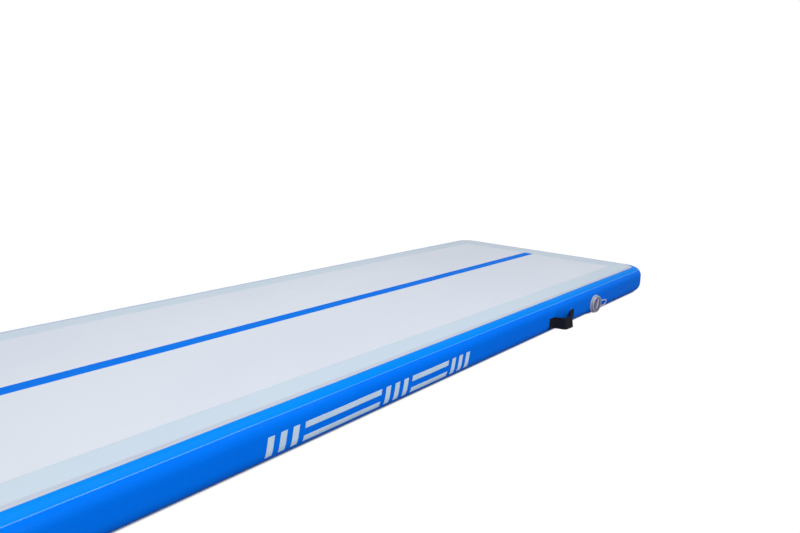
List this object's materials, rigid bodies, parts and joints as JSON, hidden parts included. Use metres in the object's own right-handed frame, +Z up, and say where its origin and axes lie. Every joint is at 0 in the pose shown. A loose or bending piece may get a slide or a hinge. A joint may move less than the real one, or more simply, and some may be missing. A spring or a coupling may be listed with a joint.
{
  "type": "air track mat",
  "caption": "Long flat inflatable tumbling mat with rounded side walls, border tape, a centre stripe, webbing carry handles and a capped inflation valve.",
  "frame": {"origin": "middle of the footprint, on the plane of the underside", "axes": "+X along the mat's length, -Y towards the long side with the valve and the pictured handle, +Z up out of the tumbling surface"},
  "size_m": [3, 1.084, 0.1],
  "materials": {
    "top_fabric": "satin, fine fabric texture under a coating",
    "base_fabric": "satin, fine fabric texture under a coating",
    "wall_pvc": "semi-gloss coated fabric",
    "border_pvc": "semi-gloss coated fabric",
    "stripe_pvc": "semi-gloss coated fabric",
    "inner_pvc": "plain",
    "print_film": "thin printed film",
    "yarn": "polyester yarn",
    "webbing": "ribbed webbing",
    "thread": "bonded thread",
    "valve_plastic": "moulded, satin",
    "cap_plastic": "moulded, satin",
    "tether_plastic": "soft moulded",
    "stem_plastic": "moulded",
    "seal_rubber": "matt",
    "spring_steel": "drawn wire"
  },
  "bodies": {
    "mat": {"top_panel": "top_fabric", "bottom_panel": "base_fabric", "drop_stitch_yarns": "yarn", "side_wall": "wall_pvc", "inner_seam_band": "inner_pvc", "side_band": "wall_pvc", "side_band_joint_cover": "wall_pvc", "centre_stripe": "stripe_pvc", "front_print": "print_film", "back_print": "print_film", "top_tape_front": "border_pvc", "top_tape_back": "border_pvc", "top_tape_left": "border_pvc", "top_tape_right": "border_pvc", "bottom_tape_front": "wall_pvc", "bottom_tape_back": "wall_pvc", "bottom_tape_left": "wall_pvc", "bottom_tape_right": "wall_pvc", "front_left_handle_ends": "webbing", "front_left_handle_patches": "wall_pvc", "front_left_handle_stitching": "thread", "front_right_handle_ends": "webbing", "front_right_handle_patches": "wall_pvc", "front_right_handle_stitching": "thread", "back_left_handle_ends": "webbing", "back_left_handle_patches": "wall_pvc", "back_left_handle_stitching": "thread", "back_right_handle_ends": "webbing", "back_right_handle_patches": "wall_pvc", "back_right_handle_stitching": "thread", "valve_seat_pad": "wall_pvc", "valve_inner_pad": "inner_pvc", "valve_gasket": "seal_rubber", "valve_body": "valve_plastic", "valve_clamp_nut": "valve_plastic", "valve_spring": "spring_steel", "tether_base_ring": "tether_plastic", "cap_tether": "tether_plastic"},
    "front_left_grip": {"front_left_handle_grip": "webbing"},
    "front_right_grip": {"front_right_handle_grip": "webbing"},
    "back_left_grip": {"back_left_handle_grip": "webbing"},
    "back_right_grip": {"back_right_handle_grip": "webbing"},
    "cap_ring": {"tether_cap_ring": "tether_plastic"},
    "cap": {"valve_cap": "cap_plastic", "cap_seal": "seal_rubber"},
    "spring_seat": {"stem_spring_seat": "stem_plastic"},
    "stem": {"valve_stem": "stem_plastic", "valve_diaphragm": "seal_rubber"}
  },
  "joints": [
    {"name": "front_left_handle_swing", "type": "hinge", "parent": "mat", "child": "front_left_grip", "pos_m": [-0.829, -0.5225, 0.037], "axis": [1, 0, 0], "range_deg": [-75, 75]},
    {"name": "front_right_handle_swing", "type": "hinge", "parent": "mat", "child": "front_right_grip", "pos_m": [0.829, -0.5225, 0.037], "axis": [1, 0, 0], "range_deg": [-75, 75]},
    {"name": "back_left_handle_swing", "type": "hinge", "parent": "mat", "child": "back_left_grip", "pos_m": [-0.829, 0.5225, 0.037], "axis": [1, 0, 0], "range_deg": [-75, 75]},
    {"name": "back_right_handle_swing", "type": "hinge", "parent": "mat", "child": "back_right_grip", "pos_m": [0.829, 0.5225, 0.037], "axis": [1, 0, 0], "range_deg": [-75, 75]},
    {"name": "cap_lift", "type": "slide", "parent": "mat", "child": "cap_ring", "axis": [0, -1, 0], "range_m": [0, 0.03]},
    {"name": "cap_turn", "type": "hinge", "parent": "cap_ring", "child": "cap", "pos_m": [1.05, -0.5, 0.039], "axis": [0, -1, 0], "range_deg": [0, 90]},
    {"name": "stem_press", "type": "slide", "parent": "mat", "child": "spring_seat", "axis": [0, 1, 0], "range_m": [0, 0.006], "stiffness_N_per_m": 800, "springref_m": -0.004, "deforming": ["valve_spring"]},
    {"name": "stem_turn", "type": "hinge", "parent": "spring_seat", "child": "stem", "pos_m": [1.05, -0.5, 0.039], "axis": [0, 1, 0], "range_deg": [0, 90]}
  ]
}
